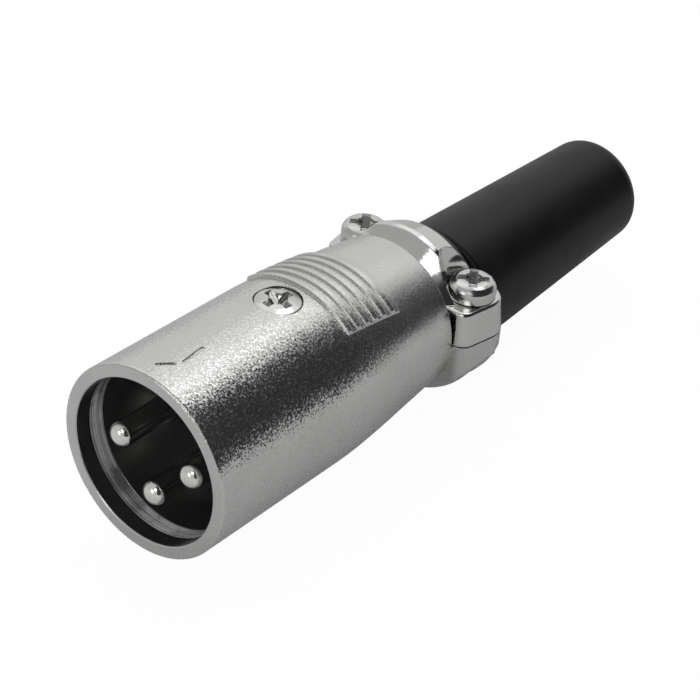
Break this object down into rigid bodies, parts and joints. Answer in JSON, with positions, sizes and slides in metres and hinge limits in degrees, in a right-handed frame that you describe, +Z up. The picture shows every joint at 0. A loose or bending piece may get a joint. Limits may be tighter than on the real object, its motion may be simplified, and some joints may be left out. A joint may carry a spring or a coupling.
{
  "type": "3-pin round cable plug",
  "caption": "Nickel-plated round cable plug with pins in its open mouth, a screw cable clamp and a black rubber boot.",
  "frame": {"origin": "centre of the open mouth's rim plane, on the shell's axis", "axes": "+X along the shell's axis to the cable end, +Z up through the screw heads, +Y to the left when looking from the mouth to the cable end"},
  "size_m": [0.0672, 0.0188, 0.0188],
  "materials": {
    "shell_nickel": "satin nickel over a zinc casting",
    "clamp_nickel": "polished nickel",
    "screw_nickel": "polished nickel",
    "pin_plate": "bright silver plate",
    "lug_brass": "tinned, satin",
    "insert_plastic": "matt black moulding",
    "boot_rubber": "satin black"
  },
  "bodies": {
    "plug": {"shell": "shell_nickel", "contact_insert": "insert_plastic", "contact_pin_1": "pin_plate", "contact_pin_2": "pin_plate", "contact_pin_3": "pin_plate", "ground_lug": "lug_brass", "strain_relief_boot": "boot_rubber"},
    "clamp": {"cable_clamp": "clamp_nickel"},
    "screw_left": {"clamp_screw_left": "screw_nickel"},
    "screw_right": {"clamp_screw_right": "screw_nickel"},
    "insert_screw": {"insert_screw": "screw_nickel"}
  },
  "joints": [
    {"name": "clamp_lift", "type": "slide", "parent": "plug", "child": "clamp", "axis": [0, 0, 1], "range_m": [0, 0.0015]},
    {"name": "screw_left_turn", "type": "hinge", "parent": "clamp", "child": "screw_left", "pos_m": [0.03726, 0.00652, 0.004], "axis": [0, 0, 1], "range_deg": [0, 1210]},
    {"name": "screw_right_turn", "type": "hinge", "parent": "clamp", "child": "screw_right", "pos_m": [0.03726, -0.00652, 0.004], "axis": [0, 0, 1], "range_deg": [0, 1210]},
    {"name": "insert_screw_turn", "type": "hinge", "parent": "plug", "child": "insert_screw", "pos_m": [0.01685, 0, 0.008], "axis": [0, 0, 1], "range_deg": [0, 1440]}
  ],
  "couplings": [
    {"joint": "screw_left_turn", "follows": "clamp_lift", "rad_per_m": 13963},
    {"joint": "screw_right_turn", "follows": "clamp_lift", "rad_per_m": 13963}
  ]
}
